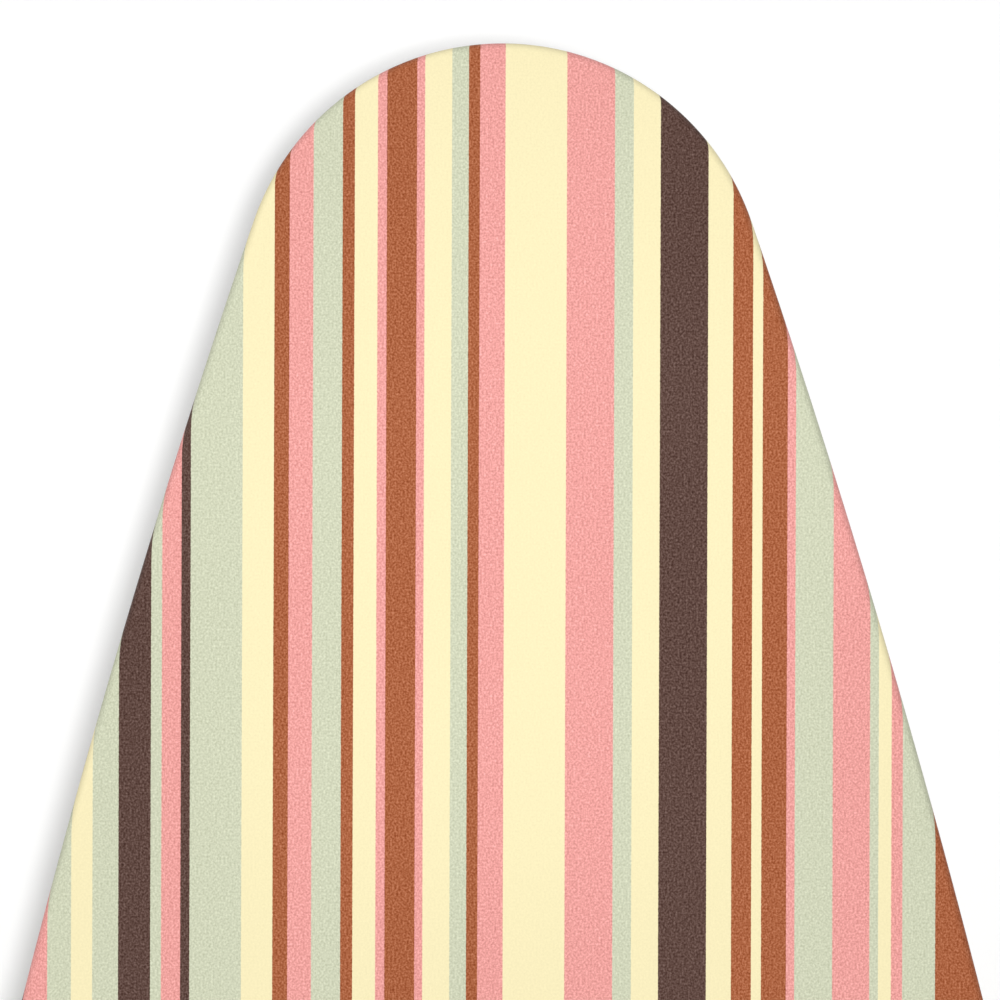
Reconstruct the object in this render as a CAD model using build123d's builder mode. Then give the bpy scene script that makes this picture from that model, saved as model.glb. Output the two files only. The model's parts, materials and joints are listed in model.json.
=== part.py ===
from build123d import *
from math import asin, cos, degrees, radians, sin, sqrt
import os

# A full-size folding ironing board, standing open at its greatest height.
# Millimetres. +X points to the nose, +Y to the left and +Z up. The origin is on the floor under the
# middle of the board. The scissor legs are two nested H frames: the outer leg hinges on brackets near
# the nose and stands on the heel side, and the inner leg slides in two rails under the heel and stands
# on the nose side. A sprung comb under the board holds the slide rod at the chosen height.

os.makedirs("parts", exist_ok=True)

# --- Plan of the top, over the cover ---
LENGTH = 1372.0  # nose to heel
WIDTH = 380.0  # at the widest station
HEIGHT = 914.0  # floor to the ironing surface
NOSE_R = 63.2  # the round nose
TAPER = 826.0  # nose tip back to the widest station
CORNER_R = 50.0  # heel corners
HEEL_R = 700.0  # bow of the heel edge

# --- Layers of the top, from the surface down ---
COVER_T = 1.0
COVER_EDGE_R = 2.0
PAD_T = 6.0
PAD_INSET = 1.2
DECK_T = 1.0
RIM_T = 1.0
RIM_H = 21.0
RIM_FLANGE = 12.5  # width of the rim's upper flange and lower lip
RIM_INSET = 2.5
RIM_BEND_R = 2.0
HEM_T = 1.0
HEM_W = 33.0  # turned under the rim
ELASTIC_W = 3.0
VENT_R = 6.0
VENT_PITCH = 32.0
VENT_MARGIN = 28.0  # least distance from a vent's centre to the board's edge
STIFFENER_H = 13.0
STIFFENER_FLANGE = 6.0

# --- Legs ---
HINGE_X = 288.0
HINGE_Z = 866.0  # height of the hinge pins and of the slide rod
FOOT_Z = 17.0  # height of the foot bars
LEG_ANGLE = radians(55)  # between a leg and the floor, board fully open
CROSS_SHARE = 0.435  # place of the crossing bolt, as a share of the leg from its upper pivot
TUBE_R = 11.0
TUBE_WALL = 1.2
TUBE_END = 16.0  # tube beyond its upper pivot
PLUG_DEPTH = 8.0
PLUG_HEAD = 2.5
OUTER_Y = 95.0
INNER_Y = 67.0
BAR_R = 12.5
BAR_WALL = 1.2
BAR_HALF = 210.0
BRACE_R = 8.0
BRACE_SHARE = 0.8
CAP_R = 16.0
CAP_LENGTH = 50.0
CAP_END = 5.0
CAP_EDGE_R = 3.0
SOLE_W = 22.0
FIT = 0.05  # radial clearance of a pin in its hole
HEAD_RIM = 1.0  # straight edge left below a rounded head

# --- Pivots ---
PIN_R = 4.0
HEAD_R = 8.0
HEAD_T = 4.0
SPACER_R = 9.0
SIDE_GAP = 0.3  # between pieces that turn past each other
BUSH_R = 6.0
EAR_T = 2.0
EAR_R = 15.0
EAR_IN = 80.0
EAR_OUT = 110.0
RIVET_R = 2.0
RIVET_HEAD_R = 4.0
RIVET_HEAD_T = 1.2
RIVET_PEEN_R = 3.8
RIVET_TIP_R = 3.0
RIVET_OFFSET = 9.0  # fore and aft of the hinge pin
PIN_HEAD_R = 7.0
PIN_HEAD_T = 3.0
PIN_PEEN_R = 6.5
PIN_PEEN_T = 1.4
NUT_FLATS = 13.0
NUT_T = 5.5
DOME_R = 5.6
DOME_T = 2.0

# --- Slide ---
ROD_R = 6.0
BARREL_R = 8.0
SPOOL_R = 11.0
SPOOL_FLANGE = 2.2
WEB_GAP = 1.3  # each side of the rail's web
ROD_BUTTON_R = 8.5
ROD_BUTTON_T = 2.5
RAIL_T = 2.0
RAIL_Y = 48.0  # middle of a rail's web
RAIL_FLANGE = 13.0
RAIL_LIP = 4.0
RAIL_DROP = 15.0  # web below the slide rod's axis
RAIL_BACK = -630.0
RAIL_FRONT = -205.0

# --- Height latch ---
AXLE_Y = -36.0
AXLE_Z = 887.0
AXLE_R = 2.5
AXLE_CHAMFER = 0.5
AXLE_PROUD = 1.0  # axle beyond each end of the comb
SLEEVE_R = 4.2
COMB_T = 1.5
COMB_Y = 12.0  # outer face of the toothed edge
COMB_BACK = -630.0
COMB_FRONT = -183.0
TOOTH_GAP = 0.4  # between the tooth crests and the slide rod
NOTCH_R = 6.5
NOTCH_DEPTH = 3.6
NOTCH_PITCH = 24.0
NOTCHES = 16
STOP_W = 10.0
STOP_DEPTH = 10.0
STOP_GAP = 1.2  # between a stop and the slide rod at the end of its travel
LUGS = (-600.0, -400.0, -206.0)
LUG_T = 2.0
LUG_R = 6.0
LUG_RELIEF = 7.0  # how far the comb's plate is cut back beside a lug
LEVER_T = 2.5
LEVER_W = 16.0
LEVER_X = -190.0
LEVER_BENDS = (104.0, 116.0)
LEVER_DROP = 9.75
LEVER_TIP = 145.0
GRIP_ENDS = (117.0, 148.0)
GRIP_HALF_W = 14.0
GRIP_BELOW = 5.0
GRIP_ABOVE = 4.5
GRIP_EDGE_R = 3.5
SPRING_COIL_R = 3.4
SPRING_WIRE_R = 0.45
SPRING_PITCH = 1.2
SPRING_TURNS = 5
SPRING_GAP = 2.0  # beside the lug and the next sleeve

# --- Worked out from the above ---
NOSE_X = LENGTH / 2 - NOSE_R
WIDEST_X = LENGTH / 2 - TAPER
SIDE_R = (WIDTH**2 / 4 + (TAPER - NOSE_R) ** 2 - NOSE_R**2) / (WIDTH - 2 * NOSE_R)
SIDE_Y = WIDTH / 2 - SIDE_R
SIDE_TURN = asin((TAPER - NOSE_R) / (SIDE_R - NOSE_R))
HEEL_X = HEEL_R - LENGTH / 2
CORNER_Y = WIDTH / 2 - CORNER_R
HEEL_TURN = asin(CORNER_Y / (HEEL_R - CORNER_R))
CORNER_X = HEEL_X - (HEEL_R - CORNER_R) * cos(HEEL_TURN)

PAD_BOTTOM = HEIGHT - COVER_T - PAD_T
DECK_BOTTOM = PAD_BOTTOM - DECK_T
RIM_BOTTOM = DECK_BOTTOM - RIM_H
HEM_BOTTOM = RIM_BOTTOM - HEM_T

LEG_L = (HINGE_Z - FOOT_Z) / sin(LEG_ANGLE)
CROSS = CROSS_SHARE * LEG_L
CROSS_X = HINGE_X - CROSS * cos(LEG_ANGLE)
CROSS_Z = HINGE_Z - CROSS * sin(LEG_ANGLE)
SLIDE_X = HINGE_X - 2 * CROSS * cos(LEG_ANGLE)
SLIDE_FOLDED_X = HINGE_X - 2 * CROSS
OUTER_FOOT_X = HINGE_X - LEG_L * cos(LEG_ANGLE)
INNER_FOOT_X = SLIDE_X + LEG_L * cos(LEG_ANGLE)
OUTER_DOWN = (-cos(LEG_ANGLE), 0, -sin(LEG_ANGLE))
INNER_DOWN = (cos(LEG_ANGLE), 0, -sin(LEG_ANGLE))
SIDES = (("left", 1), ("right", -1))


def finish(piece, name):
    """Labels a finished piece and writes it."""
    piece.part.label = name
    export_step(piece.part, f"parts/{name}.step")


def outline(inset):
    """The plan of the top, moved in from the cover's edge, as a face on the current sketch."""
    nose_turn = 90 - degrees(SIDE_TURN)
    heel_start = 180 - degrees(HEEL_TURN)
    with BuildLine() as plan:
        CenterArc((NOSE_X, 0), NOSE_R - inset, 0, nose_turn)
        CenterArc((WIDEST_X, SIDE_Y), SIDE_R - inset, nose_turn, degrees(SIDE_TURN))
        Line((WIDEST_X, WIDTH / 2 - inset), (CORNER_X, WIDTH / 2 - inset))
        CenterArc((CORNER_X, CORNER_Y), CORNER_R - inset, 90, heel_start - 90)
        CenterArc((HEEL_X, 0), HEEL_R - inset, heel_start, degrees(HEEL_TURN))
        mirror(about=Plane.XZ)
    make_face(plan.edges())


def half_width(x):
    """Half the width over the cover at station x, short of the heel's rounded corners."""
    if x > WIDEST_X:
        return SIDE_Y + sqrt(SIDE_R**2 - (x - WIDEST_X) ** 2)
    return WIDTH / 2


def ring(bottom, height, inset, width):
    """A flat band that follows the outline."""
    with BuildSketch(Plane.XY.offset(bottom)) as band:
        outline(inset)
        with BuildSketch(mode=Mode.PRIVATE) as hole:
            outline(inset + width)
        add(hole.sketch, mode=Mode.SUBTRACT)
    extrude(band.sketch, amount=height)


def across(y):
    """The sketch plane square to Y at y, with X to the right and Z up. Extruding goes towards -Y."""
    return Plane.XZ.offset(-y)


def along(x):
    """The sketch plane square to X at x, with Y to the right and Z up. Extruding goes towards +X."""
    return Plane.YZ.offset(x)


def rod(y_a, y_b, x, z, radius, mode=Mode.ADD):
    """A cylinder along Y from y_a to y_b."""
    with BuildSketch(across(max(y_a, y_b))) as section:
        with Locations((x, z)):
            Circle(radius)
    extrude(section.sketch, amount=abs(y_b - y_a), mode=mode)


def block(low, high, mode=Mode.ADD):
    """A box between two corners."""
    middle = tuple((a + b) / 2 for a, b in zip(low, high))
    with Locations(middle):
        Box(high[0] - low[0], high[1] - low[1], high[2] - low[2], mode=mode)


# ---------------------------------------------------------------- Soft goods

with BuildPart() as cover:
    with BuildSketch(Plane.XY.offset(RIM_BOTTOM)):
        outline(0)
    extrude(amount=HEIGHT - RIM_BOTTOM)
    fillet(cover.faces().sort_by(Axis.Z)[-1].edges(), COVER_EDGE_R)
    offset(amount=-COVER_T, openings=cover.faces().sort_by(Axis.Z)[0])
finish(cover, "cover")

with BuildPart() as cover_hem:
    ring(HEM_BOTTOM, HEM_T, 0, HEM_W)
finish(cover_hem, "cover_hem")

with BuildPart() as cover_elastic:
    ring(HEM_BOTTOM - HEM_T, ELASTIC_W, HEM_W, ELASTIC_W)
finish(cover_elastic, "cover_elastic")

# The pad's rounded edge matches the inside of the cover, so it is cut from a thicker slab.
with BuildPart() as pad:
    with BuildSketch(Plane.XY.offset(DECK_BOTTOM - ELASTIC_W)):
        outline(PAD_INSET)
    extrude(amount=PAD_T + DECK_T + ELASTIC_W)
    fillet(pad.faces().sort_by(Axis.Z)[-1].edges(), COVER_EDGE_R - COVER_T)
    split(bisect_by=Plane.XY.offset(PAD_BOTTOM), keep=Keep.TOP)
finish(pad, "pad")

# ---------------------------------------------------------------- Deck

VENT_ROW = VENT_PITCH * sqrt(3) / 2
vents = []
rows_each_side = int(WIDTH / 2 / VENT_ROW)
steps_each_side = int(LENGTH / 2 / VENT_PITCH) + 1
for row in range(-rows_each_side, rows_each_side + 1):
    for step in range(-steps_each_side, steps_each_side):
        x = (step + 0.5 * (row % 2)) * VENT_PITCH
        y = row * VENT_ROW
        reach = half_width(x) - VENT_MARGIN if CORNER_X < x < NOSE_X else 0
        if abs(y) < reach:
            vents.append((x, y))

with BuildPart() as deck_sheet:
    with BuildSketch(Plane.XY.offset(DECK_BOTTOM)):
        outline(RIM_INSET)
        with Locations(*vents):
            Circle(VENT_R, mode=Mode.SUBTRACT)
    extrude(amount=DECK_T)
finish(deck_sheet, "deck_sheet")

with BuildPart() as deck_rim:
    with BuildSketch(Plane.XY.offset(RIM_BOTTOM)):
        outline(RIM_INSET)
    extrude(amount=RIM_H)
    fillet(deck_rim.faces().sort_by(Axis.Z)[0].edges(), RIM_BEND_R)
    with BuildSketch(Plane.XY.offset(RIM_BOTTOM + RIM_T)):
        outline(RIM_INSET + RIM_T)
    extrude(amount=RIM_H - 2 * RIM_T, mode=Mode.SUBTRACT)
    with BuildSketch(Plane.XY.offset(RIM_BOTTOM)):
        outline(RIM_INSET + RIM_FLANGE)
    extrude(amount=RIM_H, mode=Mode.SUBTRACT)
finish(deck_rim, "deck_rim")

BRACKET_TOP = DECK_BOTTOM - STIFFENER_H
RIVET_X = (HINGE_X - RIVET_OFFSET, HINGE_X + RIVET_OFFSET)
RIVET_SPOTS = [(x, sign * OUTER_Y) for x in RIVET_X for _, sign in SIDES]

# Top-hat channels across the underside: name, station, channel width and half length.
STIFFENERS = (
    ("nose_stiffener", 450.0, 18.0, 94.0),
    ("hinge_stiffener", HINGE_X, 40.0, 124.0),
    ("heel_stiffener", -647.0, 18.0, 90.0),
)
for name, x, width, half in STIFFENERS:
    with BuildPart() as stiffener:
        with BuildSketch(Plane.XZ):
            with Locations((x, DECK_BOTTOM)):
                Rectangle(width + 2 * STIFFENER_FLANGE, DECK_T, align=(Align.CENTER, Align.MAX))
                Rectangle(width, STIFFENER_H, align=(Align.CENTER, Align.MAX))
                Rectangle(
                    width - 2 * DECK_T,
                    STIFFENER_H - DECK_T,
                    align=(Align.CENTER, Align.MAX),
                    mode=Mode.SUBTRACT,
                )
        extrude(amount=half, both=True)
        if name == "hinge_stiffener":
            with Locations(*[(*spot, BRACKET_TOP) for spot in RIVET_SPOTS]):
                Hole(radius=RIVET_R + FIT, depth=2 * DECK_T)
    finish(stiffener, name)

# ---------------------------------------------------------------- Hinge brackets and pins

for side, sign in SIDES:
    with BuildPart() as hinge_bracket:
        with BuildSketch(across(max(sign * EAR_IN, sign * EAR_OUT))):
            with Locations((HINGE_X, HINGE_Z)):
                Circle(EAR_R)
                Rectangle(2 * EAR_R, BRACKET_TOP - HINGE_Z, align=(Align.CENTER, Align.MIN))
        extrude(amount=EAR_OUT - EAR_IN)
        y_low, y_high = sorted((sign * (EAR_IN + EAR_T), sign * (EAR_OUT - EAR_T)))
        block(
            (HINGE_X - 2 * EAR_R, y_low, HINGE_Z - 2 * EAR_R),
            (HINGE_X + 2 * EAR_R, y_high, BRACKET_TOP - EAR_T),
            mode=Mode.SUBTRACT,
        )
        rod(sign * EAR_IN, sign * EAR_OUT, HINGE_X, HINGE_Z, PIN_R + FIT, Mode.SUBTRACT)
        with Locations(*[(x, sign * OUTER_Y, BRACKET_TOP) for x in RIVET_X]):
            Hole(radius=RIVET_R + FIT, depth=EAR_T)
    finish(hinge_bracket, f"hinge_bracket_{side}")

with BuildPart() as bracket_rivets:
    with Locations(*[(*spot, BRACKET_TOP - EAR_T) for spot in RIVET_SPOTS]):
        Cylinder(RIVET_R, EAR_T + DECK_T, align=(Align.CENTER, Align.CENTER, Align.MIN))
        Cone(RIVET_TIP_R, RIVET_HEAD_R, RIVET_HEAD_T, align=(Align.CENTER, Align.CENTER, Align.MAX))
    with Locations(*[(*spot, BRACKET_TOP + DECK_T) for spot in RIVET_SPOTS]):
        Cone(RIVET_PEEN_R, RIVET_TIP_R, DECK_T, align=(Align.CENTER, Align.CENTER, Align.MIN))
finish(bracket_rivets, "bracket_rivets")

with BuildPart() as hinge_pins:
    for _, sign in SIDES:
        rod(sign * EAR_IN, sign * EAR_OUT, HINGE_X, HINGE_Z, PIN_R)
        rod(sign * (EAR_IN - PIN_PEEN_T), sign * EAR_IN, HINGE_X, HINGE_Z, PIN_PEEN_R)
        rod(sign * EAR_OUT, sign * (EAR_OUT + PIN_HEAD_T), HINGE_X, HINGE_Z, PIN_HEAD_R)
    fillet(hinge_pins.faces().group_by(Axis.Y)[0].edges(), PIN_HEAD_T - HEAD_RIM)
    fillet(hinge_pins.faces().group_by(Axis.Y)[-1].edges(), PIN_HEAD_T - HEAD_RIM)
finish(hinge_pins, "hinge_pins")

with BuildPart() as hinge_bushes:
    for _, sign in SIDES:
        inner = sign * (EAR_IN + EAR_T + SIDE_GAP)
        outer = sign * (EAR_OUT - EAR_T - SIDE_GAP)
        rod(inner, outer, HINGE_X, HINGE_Z, BUSH_R)
        rod(inner, outer, HINGE_X, HINGE_Z, PIN_R + FIT, Mode.SUBTRACT)
finish(hinge_bushes, "hinge_bushes")

# ---------------------------------------------------------------- Slide rails

SLOT_HALF = BARREL_R + SIDE_GAP
for side, sign in SIDES:
    with BuildPart() as slide_rail:
        web = RAIL_Y - RAIL_T / 2
        bottom = HINGE_Z - RAIL_DROP
        for y_a, y_b, z_a, z_b in (
            (web, web + RAIL_T, bottom, DECK_BOTTOM),
            (web, web + RAIL_T + RAIL_FLANGE, DECK_BOTTOM - RAIL_T, DECK_BOTTOM),
            (web, web + RAIL_T + RAIL_LIP, bottom, bottom + RAIL_T),
        ):
            y_low, y_high = sorted((sign * y_a, sign * y_b))
            block((RAIL_BACK, y_low, z_a), (RAIL_FRONT, y_high, z_b))
        slot_middle = (SLIDE_X + SLIDE_FOLDED_X) / 2
        slot_length = SLIDE_X - SLIDE_FOLDED_X + 2 * SLOT_HALF
        with BuildSketch(across(max(sign * web, sign * (web + RAIL_T)))):
            with Locations((slot_middle, HINGE_Z)):
                SlotOverall(slot_length, 2 * SLOT_HALF)
        extrude(amount=RAIL_T, mode=Mode.SUBTRACT)
    finish(slide_rail, f"slide_rail_{side}")

# ---------------------------------------------------------------- Leg tubes


def leg_tube(top_x, y, down, foot_x):
    """One leg tube, from beyond its upper pivot down to the foot bar that it is welded to."""
    axis = Plane(origin=(top_x, y, HINGE_Z), x_dir=(0, 1, 0), z_dir=down)
    with BuildSketch(axis.offset(-TUBE_END)) as section:
        Circle(TUBE_R)
        Circle(TUBE_R - TUBE_WALL, mode=Mode.SUBTRACT)
    extrude(section.sketch, amount=TUBE_END + LEG_L)
    rod(y - CAP_R, y + CAP_R, foot_x, FOOT_Z, BAR_R, Mode.SUBTRACT)
    rod(y - CAP_R, y + CAP_R, CROSS_X, CROSS_Z, PIN_R + FIT, Mode.SUBTRACT)


def tube_plugs(top_x, y, down):
    """The moulded plugs in the upper ends of a leg's two tubes."""
    for _, sign in SIDES:
        axis = Plane(origin=(top_x, sign * y, HINGE_Z), x_dir=(0, 1, 0), z_dir=down)
        with BuildSketch(axis.offset(-TUBE_END)) as shank:
            Circle(TUBE_R - TUBE_WALL)
        extrude(shank.sketch, amount=PLUG_DEPTH)
        with BuildSketch(axis.offset(-TUBE_END - PLUG_HEAD)) as head:
            Circle(TUBE_R - SIDE_GAP)
        extrude(head.sketch, amount=PLUG_HEAD)


for side, sign in SIDES:
    with BuildPart() as outer_leg_tube:
        leg_tube(HINGE_X, sign * OUTER_Y, OUTER_DOWN, OUTER_FOOT_X)
        rod(sign * EAR_IN, sign * EAR_OUT, HINGE_X, HINGE_Z, BUSH_R, Mode.SUBTRACT)
    finish(outer_leg_tube, f"outer_leg_tube_{side}")

    with BuildPart() as inner_leg_tube:
        leg_tube(SLIDE_X, sign * INNER_Y, INNER_DOWN, INNER_FOOT_X)
        rod(sign * RAIL_Y, sign * EAR_IN, SLIDE_X, HINGE_Z, ROD_R, Mode.SUBTRACT)
    finish(inner_leg_tube, f"inner_leg_tube_{side}")

with BuildPart() as outer_tube_plugs:
    tube_plugs(HINGE_X, OUTER_Y, OUTER_DOWN)
finish(outer_tube_plugs, "outer_tube_plugs")

with BuildPart() as inner_tube_plugs:
    tube_plugs(SLIDE_X, INNER_Y, INNER_DOWN)
finish(inner_tube_plugs, "inner_tube_plugs")

BRACE_X = SLIDE_X + BRACE_SHARE * LEG_L * cos(LEG_ANGLE)
BRACE_Z = HINGE_Z - BRACE_SHARE * LEG_L * sin(LEG_ANGLE)
with BuildPart() as inner_leg_brace:
    rod(-INNER_Y, INNER_Y, BRACE_X, BRACE_Z, BRACE_R)
    for _, sign in SIDES:
        axis = Plane((SLIDE_X, sign * INNER_Y, HINGE_Z), x_dir=(0, 1, 0), z_dir=INNER_DOWN)
        with BuildSketch(axis):
            Circle(TUBE_R)
        extrude(amount=LEG_L, mode=Mode.SUBTRACT)
finish(inner_leg_brace, "inner_leg_brace")

# ---------------------------------------------------------------- Feet

for leg, foot_x in (("outer", OUTER_FOOT_X), ("inner", INNER_FOOT_X)):
    with BuildPart() as foot_bar:
        rod(-BAR_HALF, BAR_HALF, foot_x, FOOT_Z, BAR_R)
        rod(-BAR_HALF, BAR_HALF, foot_x, FOOT_Z, BAR_R - BAR_WALL, Mode.SUBTRACT)
    finish(foot_bar, f"{leg}_foot_bar")

    for side, sign in SIDES:
        end = sign * (BAR_HALF + CAP_END)
        start = end - sign * CAP_LENGTH
        with BuildPart() as foot_cap:
            with BuildSketch(across(max(start, end))):
                with Locations((foot_x, FOOT_Z)):
                    Circle(CAP_R)
                    Rectangle(SOLE_W, FOOT_Z, align=(Align.CENTER, Align.MAX))
            extrude(amount=CAP_LENGTH)
            outer_face = foot_cap.faces().sort_by(Axis.Y)[-1 if sign > 0 else 0]
            fillet(outer_face.edges(), CAP_EDGE_R)
            rod(start, sign * BAR_HALF, foot_x, FOOT_Z, BAR_R, Mode.SUBTRACT)
        finish(foot_cap, f"{leg}_foot_cap_{side}")

# ---------------------------------------------------------------- Crossing bolts

OUTER_FACE = OUTER_Y + TUBE_R
NUT_OUTER = INNER_Y - TUBE_R - SIDE_GAP
NUT_INNER = NUT_OUTER - NUT_T
NUT_DOME = NUT_INNER - DOME_T
BOLT_EDGE_R = 0.7 * HEAD_T
with BuildPart() as pivot_bolts:
    for _, sign in SIDES:
        rod(sign * NUT_INNER, sign * OUTER_FACE, CROSS_X, CROSS_Z, PIN_R)
        rod(sign * OUTER_FACE, sign * (OUTER_FACE + HEAD_T), CROSS_X, CROSS_Z, HEAD_R)
    fillet(pivot_bolts.faces().group_by(Axis.Y)[0].edges(), BOLT_EDGE_R)
    fillet(pivot_bolts.faces().group_by(Axis.Y)[-1].edges(), BOLT_EDGE_R)
finish(pivot_bolts, "pivot_bolts")

with BuildPart() as pivot_nuts:
    for _, sign in SIDES:
        with BuildSketch(across(max(sign * NUT_INNER, sign * NUT_OUTER))):
            with Locations((CROSS_X, CROSS_Z)):
                RegularPolygon(NUT_FLATS / 2, 6, major_radius=False)
                Circle(PIN_R, mode=Mode.SUBTRACT)
        extrude(amount=NUT_OUTER - NUT_INNER)
        rod(sign * NUT_DOME, sign * NUT_INNER, CROSS_X, CROSS_Z, DOME_R)
    dome_edges = pivot_nuts.edges().filter_by_position(Axis.Y, -NUT_DOME - FIT, NUT_DOME + FIT)
    fillet(dome_edges, 0.75 * DOME_T)
finish(pivot_nuts, "pivot_nuts")

with BuildPart() as pivot_spacers:
    for _, sign in SIDES:
        inner = sign * (INNER_Y + TUBE_R + SIDE_GAP)
        outer = sign * (OUTER_Y - TUBE_R)
        rod(inner, outer, CROSS_X, CROSS_Z, SPACER_R)
        rod(inner, outer, CROSS_X, CROSS_Z, PIN_R, Mode.SUBTRACT)
finish(pivot_spacers, "pivot_spacers")

# ---------------------------------------------------------------- Slide rod and bushes

ROD_HALF = INNER_Y + TUBE_R
with BuildPart() as slide_rod:
    rod(-ROD_HALF, ROD_HALF, SLIDE_X, HINGE_Z, ROD_R)
    for _, sign in SIDES:
        rod(sign * ROD_HALF, sign * (ROD_HALF + ROD_BUTTON_T), SLIDE_X, HINGE_Z, ROD_BUTTON_R)
    fillet(slide_rod.faces().group_by(Axis.Y)[0].edges(), ROD_BUTTON_T - HEAD_RIM)
    fillet(slide_rod.faces().group_by(Axis.Y)[-1].edges(), ROD_BUTTON_T - HEAD_RIM)
finish(slide_rod, "slide_rod")

with BuildPart() as slide_bushes:
    for _, sign in SIDES:
        flange_in = sign * (RAIL_Y - RAIL_T / 2 - WEB_GAP)
        flange_out = sign * (RAIL_Y + RAIL_T / 2 + WEB_GAP)
        start = flange_in - sign * SPOOL_FLANGE
        collar = sign * (INNER_Y - TUBE_R)
        rod(start, collar, SLIDE_X, HINGE_Z, BARREL_R)
        rod(start, flange_in, SLIDE_X, HINGE_Z, SPOOL_R)
        rod(flange_out, flange_out + sign * SPOOL_FLANGE, SLIDE_X, HINGE_Z, SPOOL_R)
        rod(start, collar, SLIDE_X, HINGE_Z, ROD_R, Mode.SUBTRACT)
finish(slide_bushes, "slide_bushes")

# ---------------------------------------------------------------- Height latch

CREST_Z = HINGE_Z + ROD_R + TOOTH_GAP
PLATE_TOP = AXLE_Z + COMB_T / 2
SPRING_X = LUGS[1] + LUG_T / 2 + SPRING_GAP
SPRING_LENGTH = SPRING_TURNS * SPRING_PITCH
SPRING_END = SPRING_X + SPRING_LENGTH + SPRING_GAP

with BuildPart() as latch_lugs:
    for x in LUGS:
        with BuildSketch(along(x - LUG_T / 2)):
            with Locations((AXLE_Y, AXLE_Z)):
                Circle(LUG_R)
                Rectangle(2 * LUG_R, DECK_BOTTOM - AXLE_Z, align=(Align.CENTER, Align.MIN))
                Circle(AXLE_R, mode=Mode.SUBTRACT)
        extrude(amount=LUG_T)
finish(latch_lugs, "latch_lugs")

with BuildPart() as latch_axle:
    with BuildSketch(along(COMB_BACK - AXLE_PROUD)):
        with Locations((AXLE_Y, AXLE_Z)):
            Circle(AXLE_R)
    extrude(amount=COMB_FRONT - COMB_BACK + 2 * AXLE_PROUD)
    chamfer(latch_axle.edges(), AXLE_CHAMFER)
finish(latch_axle, "latch_axle")

# The comb's curled edge turns on the axle between the lugs and beside the spring.
SLEEVES = (
    (COMB_BACK, LUGS[0] - LUG_T),
    (LUGS[0] + LUG_T, LUGS[1] - LUG_T),
    (SPRING_END, LUGS[2] - LUG_T),
    (LUGS[2] + LUG_T, COMB_FRONT),
)
GAPS = (
    (LUGS[0] - LUG_T, LUGS[0] + LUG_T),
    (LUGS[1] - LUG_T, SPRING_END),
    (LUGS[2] - LUG_T, LUGS[2] + LUG_T),
)
with BuildPart() as latch_comb:
    block((COMB_BACK, AXLE_Y, AXLE_Z - COMB_T / 2), (COMB_FRONT, COMB_Y, PLATE_TOP))
    for start, end in GAPS:
        relief_low = (start, AXLE_Y, AXLE_Z - COMB_T)
        block(relief_low, (end, AXLE_Y + LUG_RELIEF, AXLE_Z + COMB_T), Mode.SUBTRACT)
    for start, end in SLEEVES:
        with BuildSketch(along(start)):
            with Locations((AXLE_Y, AXLE_Z)):
                Circle(SLEEVE_R)
        extrude(amount=end - start)
    with BuildSketch(along(COMB_BACK)):
        with Locations((AXLE_Y, AXLE_Z)):
            Circle(AXLE_R + FIT)
    extrude(amount=COMB_FRONT - COMB_BACK, mode=Mode.SUBTRACT)
    # Toothed edge, with a deeper stop beyond each end of the slide rod's travel.
    with BuildSketch(across(COMB_Y)):
        with Locations(((COMB_BACK + COMB_FRONT) / 2, PLATE_TOP)):
            Rectangle(COMB_FRONT - COMB_BACK, PLATE_TOP - CREST_Z, align=(Align.CENTER, Align.MAX))
        front_stop = SLIDE_X + ROD_R + STOP_GAP + STOP_W / 2
        back_stop = SLIDE_FOLDED_X - ROD_R - STOP_GAP - STOP_W / 2
        with Locations((front_stop, CREST_Z), (back_stop, CREST_Z)):
            Rectangle(STOP_W, STOP_DEPTH, align=(Align.CENTER, Align.MAX))
        first_notch = SLIDE_X - (NOTCHES - 1) * NOTCH_PITCH
        notch_z = CREST_Z + NOTCH_DEPTH - NOTCH_R
        with Locations(*[(first_notch + i * NOTCH_PITCH, notch_z) for i in range(NOTCHES)]):
            Circle(NOTCH_R, mode=Mode.SUBTRACT)
    extrude(amount=COMB_T)
finish(latch_comb, "latch_comb")

LEVER_MID = PLATE_TOP + LEVER_T / 2
GRIP_Z = LEVER_MID - LEVER_DROP
LEVER_PATH = (
    (AXLE_Y + LUG_R, LEVER_MID),
    (LEVER_BENDS[0], LEVER_MID),
    (LEVER_BENDS[1], GRIP_Z),
    (LEVER_TIP, GRIP_Z),
)


def lever_section():
    """The lever's cranked strip, seen along X, on the current sketch."""
    with BuildLine() as path:
        Polyline(*LEVER_PATH)
    trace(path.edges(), line_width=LEVER_T)


with BuildPart() as latch_lever:
    with BuildSketch(along(LEVER_X - LEVER_W / 2)):
        lever_section()
    extrude(amount=LEVER_W)
finish(latch_lever, "latch_lever")

with BuildPart() as latch_grip:
    grip_low = (LEVER_X - GRIP_HALF_W, GRIP_ENDS[0], GRIP_Z - GRIP_BELOW)
    block(grip_low, (LEVER_X + GRIP_HALF_W, GRIP_ENDS[1], GRIP_Z + GRIP_ABOVE))
    fillet(latch_grip.edges(), GRIP_EDGE_R)
    with BuildSketch(along(LEVER_X - LEVER_W / 2)):
        lever_section()
    extrude(amount=LEVER_W, mode=Mode.SUBTRACT)
finish(latch_grip, "latch_grip")

with BuildPart() as latch_spring:
    with BuildLine():
        coil = Helix(
            pitch=SPRING_PITCH,
            height=SPRING_LENGTH,
            radius=SPRING_COIL_R,
            center=(SPRING_X, AXLE_Y, AXLE_Z),
            direction=(1, 0, 0),
        )
    with BuildSketch(Plane(origin=coil @ 0, z_dir=coil % 0)):
        Circle(SPRING_WIRE_R)
    sweep(path=coil, is_frenet=True)
finish(latch_spring, "latch_spring")
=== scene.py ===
import json
import math

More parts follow.
